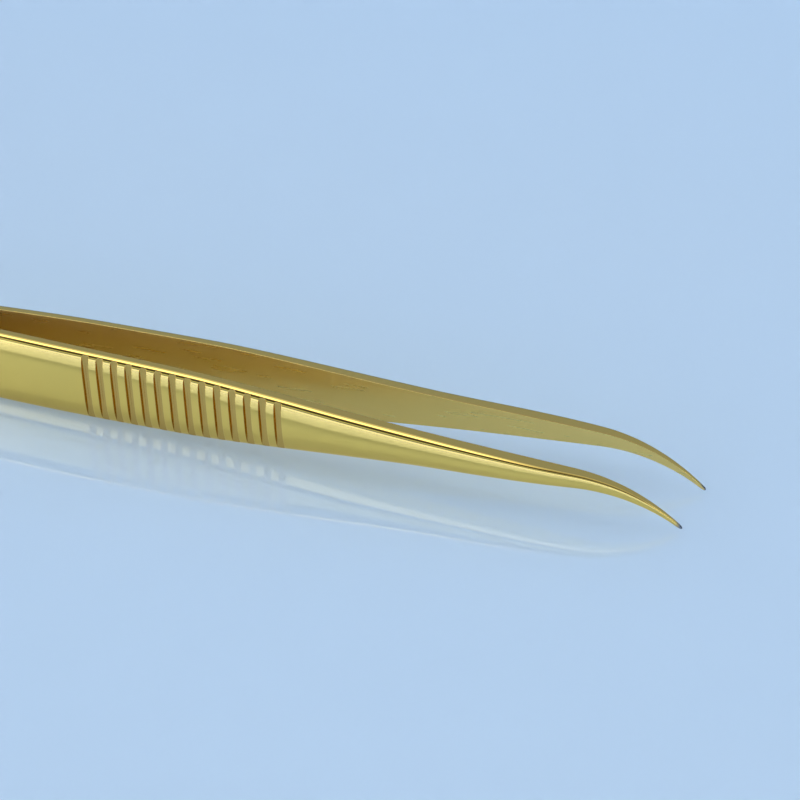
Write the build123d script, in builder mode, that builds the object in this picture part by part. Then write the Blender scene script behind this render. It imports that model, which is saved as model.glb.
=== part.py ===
from build123d import *
from math import acos, degrees, radians, sin
import os

# Lash isolation tweezers with down-curved tips, lying on their lower edges as on a bench.
# Two ground blades are welded face to face at the heel and spring apart towards the tips.
# X runs from the heel to the tips, Y across the opening and Z up from the bench. The origin
# is on the bench, under the middle of the tweezers. Sizes are in millimetres.

# Whole tool
overall_length = 137.0
blade_width = 9.3
blade_thickness = 2.0
half_opening = 4.1

# Curved end: the centre line turns down until the tip is just above the bench
bend_radius = 20.5
tip_width = 0.3
tip_height = 0.15

# Cross-section of a blade: flat inside, crowned outside, long corners bevelled
crown = 0.3
inner_bevel = 0.08
outer_bevel = 0.55

# Taken off a blade where it is ground flat: along both long edges, on which the tweezers lie,
# and inside at the heel, where the blades meet
grind = 0.05

# Grip: flutes milled across the outer face, the first one counted from the heel
groove_count = 14
groove_pitch = 2.0
groove_start = 62.0
groove_depth = 0.43
groove_radius = 0.5

# Heel end, where the blades are welded together; the radius rounds its corners from the side
heel_width = 8.4
heel_thickness = 1.45
heel_radius = 2.6

# A blade is lofted a little too wide, and too thick at the heel, for the grinding
lofted_width = blade_width + 2 * grind
lofted_heel = (
    heel_width / lofted_width,
    -grind / half_opening,
    (heel_thickness + grind) / blade_thickness,
)

# Shape of a blade from the heel (0) to the tip (1) of its centre line. Each row gives the
# place, then the width, the inner face's distance from the middle plane and the thickness,
# as shares of lofted_width, half_opening and blade_thickness.
blade_shape = [
    (0.00, *lofted_heel),
    (0.05, *lofted_heel),
    (0.10, 0.955, 0.025, 0.75),
    (0.17, 0.985, 0.160, 0.77),
    (0.25, 1.000, 0.330, 0.79),
    (0.33, 0.995, 0.500, 0.80),
    (0.41, 0.975, 0.646, 0.80),
    (0.49, 0.932, 0.735, 0.81),
    (0.56, 0.870, 0.797, 0.84),
    (0.63, 0.725, 0.837, 0.92),
    (0.70, 0.555, 0.873, 0.99),
    (0.77, 0.410, 0.925, 1.00),
    (0.83, 0.312, 0.968, 1.00),
    (0.88, 0.228, 0.983, 0.94),
    (0.92, 0.163, 0.990, 0.72),
    (0.95, 0.116, 1.000, 0.48),
    (0.98, 0.062, 1.000, 0.28),
    (1.00, tip_width / lofted_width, 1.000, tip_width / blade_thickness),
]

centre_height = blade_width / 2
tip_drop = centre_height - tip_height
bend_angle = degrees(acos((bend_radius - tip_drop) / (bend_radius - tip_width / 2)))
bend_reach = (bend_radius + tip_width / 2) * sin(radians(bend_angle))
heel_x = -overall_length / 2

# Centre line of the blades seen from the side: straight, then curved down to the tip
with BuildLine(Plane.XZ) as centre_line:
    straight = Line((heel_x, centre_height), (heel_x + overall_length - bend_reach, centre_height))
    JernArc(straight @ 1, straight % 1, bend_radius, -bend_angle)
path = centre_line.wire()

# The left blade, lofted through its cross-sections. In each sketch X is the distance from
# the middle plane and Y runs across the blade's width.
with BuildPart() as left_arm:
    for place, width_share, inner_share, thickness_share in blade_shape:
        half_width = width_share * lofted_width / 2
        thickness = thickness_share * blade_thickness
        inner = inner_share * half_opening
        outer = inner + thickness
        bulge = min(crown, 0.1 * half_width)
        with BuildSketch(Plane(origin=path @ place, x_dir=(0, 1, 0), z_dir=path % place)) as section:
            with BuildLine():
                Polyline((outer, -half_width), (inner, -half_width), (inner, half_width), (outer, half_width))
                ThreePointArc((outer, half_width), (outer + bulge, 0), (outer, -half_width))
            make_face()
            outer_corners = section.vertices().group_by(Axis.X)[-1]
            chamfer(outer_corners, min(outer_bevel, 0.36 * thickness, 0.45 * half_width))
            inner_corners = section.vertices().group_by(Axis.X)[0]
            chamfer(inner_corners, min(inner_bevel, 0.2 * thickness))
    loft()

    # Both long edges are ground flat, down to the blade's width, and so is the weld face
    split(bisect_by=Plane.XY, keep=Keep.TOP)
    split(bisect_by=Plane.XY.offset(blade_width), keep=Keep.BOTTOM)
    split(bisect_by=Plane.XZ, keep=Keep.BOTTOM)

    # The corners of the heel end are rounded off
    with BuildSketch(Plane.XZ):
        with Locations((heel_x, centre_height)):
            Rectangle(2 * heel_radius, 2 * blade_width)
        with Locations((heel_x + 2 * heel_radius, centre_height)):
            RectangleRounded(4 * heel_radius, heel_width + 2 * grind, heel_radius, mode=Mode.SUBTRACT)
    extrude(amount=2 * blade_thickness, both=True, mode=Mode.SUBTRACT)

    # The flutes follow the outer face, so each one is equally deep at mid width
    flute_centres = []
    for i in range(groove_count):
        across = Axis((heel_x + groove_start + i * groove_pitch, 0, centre_height), (0, 1, 0))
        outer_point, _ = left_arm.part.find_intersection_points(across)[-1]
        flute_centres.append(outer_point + (0, groove_radius - groove_depth, 0))
    with Locations(*flute_centres):
        Cylinder(groove_radius, 2 * blade_width, mode=Mode.SUBTRACT)

# The right blade is the left one mirrored across the middle plane
with BuildPart() as right_arm:
    mirror(left_arm.part, about=Plane.XZ)

left_arm.part.label = "left_arm"
right_arm.part.label = "right_arm"
os.makedirs("parts", exist_ok=True)
export_step(left_arm.part, "parts/left_arm.step")
export_step(right_arm.part, "parts/right_arm.step")
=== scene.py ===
from math import acos, cos, pi, radians, sin, sqrt

import bpy
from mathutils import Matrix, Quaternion, Vector


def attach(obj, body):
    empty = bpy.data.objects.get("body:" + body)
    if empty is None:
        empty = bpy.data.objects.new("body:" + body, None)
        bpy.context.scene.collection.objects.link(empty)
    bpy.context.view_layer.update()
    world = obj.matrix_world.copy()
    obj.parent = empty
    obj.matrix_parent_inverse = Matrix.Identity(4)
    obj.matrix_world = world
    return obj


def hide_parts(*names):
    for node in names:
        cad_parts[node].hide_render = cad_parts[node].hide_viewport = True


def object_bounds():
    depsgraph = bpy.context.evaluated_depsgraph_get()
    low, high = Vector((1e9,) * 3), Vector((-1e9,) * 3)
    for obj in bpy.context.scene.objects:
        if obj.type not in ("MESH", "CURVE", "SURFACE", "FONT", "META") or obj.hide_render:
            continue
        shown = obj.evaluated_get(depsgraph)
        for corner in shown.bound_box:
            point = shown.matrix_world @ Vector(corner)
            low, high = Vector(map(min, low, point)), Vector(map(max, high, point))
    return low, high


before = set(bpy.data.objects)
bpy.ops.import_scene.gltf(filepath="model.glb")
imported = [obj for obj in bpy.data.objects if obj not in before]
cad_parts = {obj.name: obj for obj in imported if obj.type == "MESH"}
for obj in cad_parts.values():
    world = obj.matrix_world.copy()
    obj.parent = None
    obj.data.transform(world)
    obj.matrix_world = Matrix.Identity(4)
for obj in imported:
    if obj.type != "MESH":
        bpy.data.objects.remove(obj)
cad_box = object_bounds()
scene = bpy.context.scene
MM = 0.001


def select_only(*pieces):
    """Selects these objects and makes the first one active."""
    bpy.ops.object.select_all(action="DESELECT")
    for piece in pieces:
        piece.select_set(True)
    bpy.context.view_layer.objects.active = pieces[0]


def linear(hex_colour):
    """The linear RGBA of an sRGB colour such as F9D173."""
    channels = [int(hex_colour[i:i + 2], 16) / 255 for i in (0, 2, 4)]
    return [c / 12.92 if c < 0.04045 else ((c + 0.055) / 1.055) ** 2.4 for c in channels] + [1]


def node(tree, kind, links=None, **settings):
    """Adds a node, sets its inputs and properties by name, and links outputs to its inputs."""
    added = tree.nodes.new(kind)
    for name, value in settings.items():
        if name in added.inputs:
            added.inputs[name].default_value = value
        else:
            setattr(added, name, value)
    for name, source in (links or {}).items():
        tree.links.new(source, added.inputs[name])
    return added


# Left blade, in millimetres. The real one is ground from a strip of stainless steel: flat
# inside, crowned outside, its long outer corners rounded on a belt, its end curved down to a
# fine point. The grip is milled with flutes, and the heel is welded to the other blade.
(low_x, low_y, low_z), (high_x, high_y, high_z) = [[v / MM for v in corner] for corner in cad_box]
overall_length = high_x - low_x
blade_width = high_z - low_z
half_opening = 4.1

# Curved end: the centre line turns down until the tip is just above the bench
bend_radius = 20.5
tip_width = 0.3
tip_height = 0.15

# Cross-section: the outer face is flat in the middle and curves down at both sides as far as
# the flank angle, where the rounding of the long corner begins
flank_radius = 7.5
flank_angle = radians(16)
outer_round = 0.9
inner_round = 0.04

# Largest radii where a blade is narrow, as shares of its thickness, half width or flank
inner_limit = 0.2
outer_limit_thick = 0.55
outer_limit_wide = 0.45
flank_limit = 0.92

# Heel end; the radius rounds its corners from the side
heel_width = 8.4
heel_thickness = 1.45
heel_radius = 2.6

# Grip: flutes across the outer face, the first one counted from the heel
groove_count = 14
groove_pitch = 2.0
groove_start = 62.0
groove_width = 1.0
groove_depth = 0.55
groove_corner = 0.26
cutter_height = 2

# Rings of the cage from which the blade is smoothed
ring_spacing = 2
bend_rings = 12

# A blade from the heel (0) to the tip (1) of its centre line: the place, then the width, the
# inner face's distance from the middle plane and the thickness, in millimetres
blade_shape = [
    (0.00, heel_width, 0.0, heel_thickness),
    (0.05, heel_width, 0.0, 1.46),
    (0.10, 8.98, 0.10, 1.50),
    (0.17, 9.26, 0.66, 1.54),
    (0.25, 9.40, 1.35, 1.58),
    (0.33, 9.35, 2.05, 1.60),
    (0.41, 9.17, 2.65, 1.60),
    (0.49, 8.76, 3.01, 1.62),
    (0.56, 8.18, 3.27, 1.68),
    (0.63, 6.82, 3.43, 1.84),
    (0.70, 5.22, 3.58, 1.98),
    (0.77, 3.85, 3.79, 2.00),
    (0.83, 2.93, 3.97, 2.00),
    (0.88, 2.14, 4.03, 1.88),
    (0.92, 1.53, 4.06, 1.44),
    (0.95, 1.09, half_opening, 0.96),
    (0.98, 0.58, half_opening, 0.56),
    (1.00, tip_width, half_opening, tip_width),
]

centre_height = blade_width / 2
bend_angle = acos((bend_radius - centre_height + tip_height) / (bend_radius - tip_width / 2))
bend_reach = (bend_radius + tip_width / 2) * sin(bend_angle)
straight_length = overall_length - bend_reach
path_length = straight_length + bend_radius * bend_angle


def sizes_at(along):
    """Width, inner distance and thickness at a distance along the centre line, by a cubic
    through the rows of blade_shape."""
    place = along / path_length
    i = 0
    while i < len(blade_shape) - 2 and blade_shape[i + 1][0] <= place:
        i += 1
    row, after = blade_shape[i], blade_shape[i + 1]
    before = blade_shape[max(i - 1, 0)]
    beyond = blade_shape[min(i + 2, len(blade_shape) - 1)]
    span = after[0] - row[0]
    t = (place - row[0]) / span
    sizes = []
    for k in (1, 2, 3):
        slope_0 = (after[k] - before[k]) / (after[0] - before[0]) * span
        slope_1 = (beyond[k] - row[k]) / (beyond[0] - row[0]) * span
        sizes.append((2 * t**3 - 3 * t**2 + 1) * row[k] + (t**3 - 2 * t**2 + t) * slope_0
                     + (3 * t**2 - 2 * t**3) * after[k] + (t**3 - t**2) * slope_1)
    return sizes


def half_outline(half, inner, thickness):
    """The upper half of a cross-section, from the middle of the inner face over the top to the
    middle of the outer face, as (distance from the middle plane, height) pairs."""
    inner_r = min(inner_round, inner_limit * thickness, inner_limit * half)
    outer_r = min(outer_round, outer_limit_thick * thickness, outer_limit_wide * half)
    flank_top = half - outer_r * (1 - sin(flank_angle))
    flank_r = min(flank_radius, flank_limit * flank_top / sin(flank_angle))
    points = [(inner, 0), (inner, 0.4 * half), (inner, 0.8 * half), (inner, half - 3 * inner_r)]
    for turn in (0, 45, 90):
        a = radians(turn)
        points.append((inner + inner_r - inner_r * cos(a), half - inner_r + inner_r * sin(a)))
    flat_end = inner + thickness - outer_r
    points.append((inner + 3 * inner_r, half))
    points.append((flat_end - 0.3 * (flat_end - inner), half))
    for i in range(7):
        a = pi / 2 - (pi / 2 - flank_angle) * i / 6
        points.append((flat_end + outer_r * cos(a), half - outer_r + outer_r * sin(a)))
    edge_y, edge_z = points[-1]
    for turn in (12, 8, 4, 0):
        a = radians(turn)
        points.append((edge_y + flank_r * (cos(a) - cos(flank_angle)),
                       edge_z - flank_r * (sin(flank_angle) - sin(a))))
    crest_y, crest_z = points[-1]
    return points + [(crest_y, 0.5 * crest_z), (crest_y, 0)]


def ring_at(along):
    """One ring of the blade's cage, as points in millimetres."""
    width, inner, thickness = sizes_at(along)
    half = width / 2
    if along < heel_radius:
        half -= heel_radius - sqrt(heel_radius**2 - (heel_radius - along) ** 2)
    upper = half_outline(min(half, centre_height), max(inner, 0), thickness)
    outline = upper + [(y, -z) for y, z in reversed(upper[1:-1])]
    turned = max(along - straight_length, 0) / bend_radius
    x = low_x + min(along, straight_length) + bend_radius * sin(turned)
    z = centre_height - bend_radius * (1 - cos(turned))
    return [(x + v * sin(turned), y, z + v * cos(turned)) for y, v in outline]


def stations():
    """Distances along the centre line of all rings: close at both ends, and about
    ring_spacing apart between."""
    near_heel = [0, 0.06, 0.4, 1.0, 1.8, heel_radius]
    steps = int((straight_length - heel_radius) / ring_spacing)
    straight = [heel_radius + (straight_length - heel_radius) * i / steps for i in range(1, steps + 1)]
    curved = [straight_length + bend_radius * bend_angle * i / bend_rings for i in range(1, bend_rings + 1)]
    return near_heel + straight + curved


# The rings are joined into a closed cage, which is then smoothed
rings = [ring_at(along) for along in stations()]
around = len(rings[0])
points = [point for ring in rings for point in ring]
faces = [list(reversed(range(around))), [len(points) - around + i for i in range(around)]]
for r in range(len(rings) - 1):
    for i in range(around):
        a, b = r * around + i, r * around + (i + 1) % around
        faces.append([a, b, b + around, a + around])
blade_mesh = bpy.data.meshes.new("left_blade")
blade_mesh.from_pydata(points, [], faces)
left_blade = bpy.data.objects.new("left_blade", blade_mesh)
scene.collection.objects.link(left_blade)

select_only(left_blade)
bpy.ops.object.mode_set(mode="EDIT")
bpy.ops.mesh.select_all(action="SELECT")
bpy.ops.mesh.normals_make_consistent(inside=False)
bpy.ops.object.mode_set(mode="OBJECT")
smooth = left_blade.modifiers.new("smooth form", "SUBSURF")
smooth.levels = smooth.render_levels = 2
bpy.ops.object.modifier_apply(modifier=smooth.name)

# Gold-coloured vacuum coating on mirror-polished stainless steel. The eye sees the strips of
# light as smooth gold bands along the blade, with a thin bright line where polishing has
# softened an edge. Near the very tips the colour changes to a dark blue-grey.
coat_colour = "FBD26E"
tip_end_colour = "6F7480"
tip_end_from = high_x - 0.9
tip_end_to = high_x - 0.3
polished_roughness = 0.05
soft_edge = 0.07
edge_samples = 6
gold_coat = bpy.data.materials.new("gold coating on polished steel")
gold_coat.use_nodes = True
gold = gold_coat.node_tree
at = node(gold, "ShaderNodeTexCoord").outputs["Object"]
along_x = node(gold, "ShaderNodeSeparateXYZ", {"Vector": at}).outputs["X"]
tip_end = node(gold, "ShaderNodeMapRange", {"Value": along_x})
tip_end.inputs["From Min"].default_value = tip_end_from * MM
tip_end.inputs["From Max"].default_value = tip_end_to * MM
colour = node(gold, "ShaderNodeMix", data_type="RGBA")
gold.links.new(tip_end.outputs[0], colour.inputs[0])
colour.inputs[6].default_value = linear(coat_colour)
colour.inputs[7].default_value = linear(tip_end_colour)
edges = node(gold, "ShaderNodeBevel", samples=edge_samples, Radius=soft_edge * MM)
shader = gold.nodes["Principled BSDF"]
shader.inputs["Metallic"].default_value = 1
shader.inputs["Roughness"].default_value = polished_roughness
gold.links.new(colour.outputs[2], shader.inputs["Base Color"])
gold.links.new(edges.outputs[0], shader.inputs["Normal"])
left_blade.data.materials.append(gold_coat)

# The same coating inside, where the steel is only ground lengthwise: the eye sees a blurred,
# faintly mottled gold. Real grinding lines are about 0.05 mm apart, too fine for a picture of
# the whole tool, so the mottling is drawn coarser.
ground_colour = "F4D27C"
ground_roughness = 0.2, 0.42
ground_metallic = 0.9
grain_across = 0.5
grain_along = 7.0
grain_height = 0.012
inner_facing = 0.95
ground_coat = bpy.data.materials.new("gold coating on ground steel")
ground_coat.use_nodes = True
ground = ground_coat.node_tree
at = node(ground, "ShaderNodeTexCoord").outputs["Object"]
stretched = node(ground, "ShaderNodeMapping", {"Vector": at},
                 Scale=(1 / (grain_along * MM), 1 / (grain_across * MM), 1 / (grain_across * MM)))
grain = node(ground, "ShaderNodeTexNoise", {"Vector": stretched.outputs[0]}, Scale=1, Detail=1)
roughness = node(ground, "ShaderNodeMapRange", {"Value": grain.outputs["Fac"]})
roughness.inputs["To Min"].default_value, roughness.inputs["To Max"].default_value = ground_roughness
edges = node(ground, "ShaderNodeBevel", samples=edge_samples, Radius=soft_edge * MM)
bump = node(ground, "ShaderNodeBump", {"Height": grain.outputs["Fac"], "Normal": edges.outputs[0]},
            Strength=1, Distance=grain_height * MM)
shader = ground.nodes["Principled BSDF"]
shader.inputs["Base Color"].default_value = linear(ground_colour)
shader.inputs["Metallic"].default_value = ground_metallic
ground.links.new(roughness.outputs[0], shader.inputs["Roughness"])
ground.links.new(bump.outputs[0], shader.inputs["Normal"])
left_blade.data.materials.append(ground_coat)
for face in left_blade.data.polygons:
    face.material_index = 1 if face.normal.y < -inner_facing else 0

# The same coating in the flutes, which are milled and less polished, so a little duller than the
# lands between them. Their colour is also painted darker: painted shade for the shade that falls in the
# flutes.
flute_painted_shade_colour = "D9AE5E"
milled_roughness = 0.15
milled_coat_with_painted_shade = gold_coat.copy()
milled_coat_with_painted_shade.name = "gold coating on milled steel with painted shade"
milled = milled_coat_with_painted_shade.node_tree
shader = milled.nodes["Principled BSDF"]
milled.links.remove(shader.inputs["Base Color"].links[0])
shader.inputs["Base Color"].default_value = linear(flute_painted_shade_colour)
shader.inputs["Roughness"].default_value = milled_roughness

# The flutes are milled across the outer face by a cutter with rounded corners
cutters = []
for i in range(groove_count):
    along = groove_start + i * groove_pitch
    width, inner, thickness = sizes_at(along)
    outer_face = half_outline(width / 2, inner, thickness)[-1][0]
    bpy.ops.mesh.primitive_cube_add(
        size=1, location=(low_x + along, outer_face - groove_depth + cutter_height / 2, centre_height),
        scale=(groove_width, cutter_height, 2 * blade_width))
    cutters.append(bpy.context.object)
select_only(*cutters)
bpy.ops.object.join()
cutter = bpy.context.object
bpy.ops.object.transform_apply(location=True, rotation=False, scale=True)
bpy.ops.object.mode_set(mode="EDIT")
bpy.ops.mesh.select_mode(type="EDGE")
bpy.ops.mesh.select_all(action="DESELECT")
bpy.ops.object.mode_set(mode="OBJECT")
# The long edges that reach into the blade lie nearer to the middle plane than this
inner_edges_end = half_opening + 1.7
for edge in cutter.data.edges:
    ends = [cutter.data.vertices[v].co for v in edge.vertices]
    edge.select = abs(ends[0].z - ends[1].z) > blade_width and ends[0].y < inner_edges_end
bpy.ops.object.mode_set(mode="EDIT")
bpy.ops.mesh.bevel(offset=groove_corner, segments=8, affect="EDGES")
bpy.ops.object.mode_set(mode="OBJECT")
# The cut faces take the duller coat with the painted shade of the flutes
cutter.data.materials.append(milled_coat_with_painted_shade)
flutes = left_blade.modifiers.new("flutes", "BOOLEAN")
flutes.operation = "DIFFERENCE"
flutes.object = cutter
flutes.solver = "EXACT"
flutes.material_mode = "TRANSFER"
select_only(left_blade)
bpy.ops.object.modifier_apply(modifier=flutes.name)
bpy.data.objects.remove(cutter)

left_blade.scale = (MM, MM, MM)
select_only(left_blade)
bpy.ops.object.transform_apply(location=False, rotation=False, scale=True)
bpy.ops.object.shade_smooth_by_angle(angle=radians(25))
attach(left_blade, "root")
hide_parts("left_arm")

# Right blade: the same blade mirrored across the middle plane. It is welded to the left one at
# the heel, and both are polished and coated together.
right_blade = left_blade.copy()
right_blade.data = left_blade.data.copy()
right_blade.name = "right_blade"
scene.collection.objects.link(right_blade)
right_blade.scale = (1, -1, 1)
select_only(right_blade)
bpy.ops.object.transform_apply(location=False, rotation=False, scale=True)
bpy.ops.object.mode_set(mode="EDIT")
bpy.ops.mesh.select_all(action="SELECT")
bpy.ops.mesh.normals_make_consistent(inside=False)
bpy.ops.object.mode_set(mode="OBJECT")
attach(right_blade, "root")
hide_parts("right_arm")

# Bench top: a large plain sheet of glossy pale blue acrylic. The eye sees a faint mirror image
# of the tweezers in it, and only soft shadows, because light spreads inside the sheet. Its
# refractive index is higher than real acrylic's, so that the mirror image is strong enough.
bench_colour = "DAEEFD"
bench_metres = 12
bench_roughness = 0.015
bench_refraction = 1.9
bench_spread = 25
bpy.ops.mesh.primitive_plane_add(size=bench_metres, location=(0, 0, 0))
bench = bpy.context.object
bench.name = "bench_top"
bench_finish = bpy.data.materials.new("glossy acrylic")
bench_finish.use_nodes = True
acrylic = bench_finish.node_tree.nodes["Principled BSDF"]
acrylic.inputs["Base Color"].default_value = linear(bench_colour)
acrylic.inputs["Roughness"].default_value = bench_roughness
acrylic.inputs["IOR"].default_value = bench_refraction
acrylic.inputs["Subsurface Weight"].default_value = 1
acrylic.inputs["Subsurface Radius"].default_value = (1, 1, 1)
acrylic.inputs["Subsurface Scale"].default_value = bench_spread * MM
acrylic.subsurface_method = "BURLEY"
bench.data.materials.append(bench_finish)

# Studio: soft strips of light that run along the tweezers. Each stop gives the angle, from the
# horizon in front (0) over the top (90) to the horizon behind (180), and the light there.
strips = [
    (0, (0.6, 0.8, 1.1)), (2, (1.05, 1.35, 2.3)), (18, (1.05, 1.35, 2.3)), (21, (0.06, 0.06, 0.05)),
    (27, (0.06, 0.06, 0.05)), (31, (0.5, 0.65, 0.75)), (42, (0.5, 0.65, 0.75)), (48, (0.06, 0.06, 0.05)),
    (106, (0.06, 0.06, 0.05)), (110, (0.32, 0.4, 0.5)), (118, (0.7, 0.8, 1.0)), (128, (0.65, 0.75, 0.95)),
    (136, (0.28, 0.35, 0.48)), (152, (0.28, 0.36, 0.5)), (160, (0.25, 0.42, 0.7)),
    (166, (0.14, 0.15, 0.17)), (180, (0.14, 0.15, 0.17)),
]

# The ceiling light has the same angles. It fades out above the tweezers' bend and comes back
# far ahead of the tips, and a wide pale wall stands behind the heel: each stop of these two
# gives the share towards the heel (-1) or the tips (1), and the light there.
ceiling = [(74, (0, 0, 0)), (79, (1.8, 2.0, 2.3)), (106, (1.8, 2.0, 2.3)), (110, (0, 0, 0))]
ceiling_end = [(-0.29, (1, 1, 1)), (-0.2, (0.15, 0.15, 0.15)), (0.5, (0.15, 0.15, 0.15)), (0.6, (1, 1, 1))]
heel_wall = [(-0.85, (1.5, 1.62, 1.7)), (-0.55, (0, 0, 0))]
brightest = 3
backdrop_colour = "B4D2EE"
world = bpy.data.worlds.new("studio")
world.use_nodes = True
scene.world = world
sky = world.node_tree
sky.nodes.clear()


def ramp(value, stops, low, high):
    """The colours of the stops, placed from low to high, for a value. They are divided by the
    brightest light, and the strength of the studio light brings them back."""
    share = node(sky, "ShaderNodeMapRange", {"Value": value})
    share.inputs["From Min"].default_value = low
    share.inputs["From Max"].default_value = high
    colours = node(sky, "ShaderNodeValToRGB", {"Fac": share.outputs[0]})
    elements = colours.color_ramp.elements
    while len(elements) < len(stops):
        elements.new(1)
    for element, (place, light) in zip(elements, stops):
        element.position = (place - low) / (high - low)
        element.color = (light[0] / brightest, light[1] / brightest, light[2] / brightest, 1)
    return colours.outputs["Color"]


direction = node(sky, "ShaderNodeTexCoord").outputs["Generated"]
parts = node(sky, "ShaderNodeSeparateXYZ", {"Vector": direction})
front = node(sky, "ShaderNodeMath", {0: parts.outputs["Y"]}, operation="MULTIPLY")
front.inputs[1].default_value = -1
angle = node(sky, "ShaderNodeMath", {0: parts.outputs["Z"], 1: front.outputs[0]}, operation="ARCTAN2")
turned = node(sky, "ShaderNodeMath", {0: angle.outputs[0]}, operation="DEGREES")
ceiling_light = node(sky, "ShaderNodeVectorMath", {
    0: ramp(turned.outputs[0], ceiling, 0, 180),
    1: ramp(parts.outputs["X"], ceiling_end, -1, 1)}, operation="MULTIPLY")
ceiling_restored = node(
    sky, "ShaderNodeVectorMath", {0: ceiling_light.outputs[0]}, operation="SCALE", Scale=brightest)
strips_and_ceiling = node(sky, "ShaderNodeVectorMath", {
    0: ramp(turned.outputs[0], strips, 0, 180),
    1: ceiling_restored.outputs[0]}, operation="ADD")
all_light = node(sky, "ShaderNodeVectorMath", {
    0: strips_and_ceiling.outputs[0],
    1: ramp(parts.outputs["X"], heel_wall, -1, 1)}, operation="ADD")
seen = node(sky, "ShaderNodeLightPath").outputs["Is Camera Ray"]
studio_light = node(sky, "ShaderNodeBackground", {"Color": all_light.outputs[0]}, Strength=brightest)
backdrop = node(sky, "ShaderNodeBackground", Color=linear(backdrop_colour), Strength=1)
mixed = node(sky, "ShaderNodeMixShader", {0: seen, 1: studio_light.outputs[0], 2: backdrop.outputs[0]})
node(sky, "ShaderNodeOutputWorld", {"Surface": mixed.outputs[0]})

# Camera: from the front right, 30 degrees above the bench, aimed just ahead of the grip
aim = Vector((0.0294, 0.0072, 0.0032))
camera_distance = 0.3099
camera_side = radians(25.14)
camera_height = radians(29.98)
camera_roll = radians(-3.19)
camera_lens = 117
towards = Vector((
    sin(camera_side) * cos(camera_height),
    -cos(camera_side) * cos(camera_height),
    sin(camera_height)))
camera_data = bpy.data.cameras.new("camera")
camera_data.lens = camera_lens
camera = bpy.data.objects.new("camera", camera_data)
camera.location = aim + camera_distance * towards
turn = towards.to_track_quat("Z", "Y") @ Quaternion((0, 0, 1), camera_roll)
camera.rotation_euler = turn.to_euler()
camera_data.clip_start = 0.01
scene.collection.objects.link(camera)
scene.camera = camera

scene.view_settings.view_transform = "Standard"
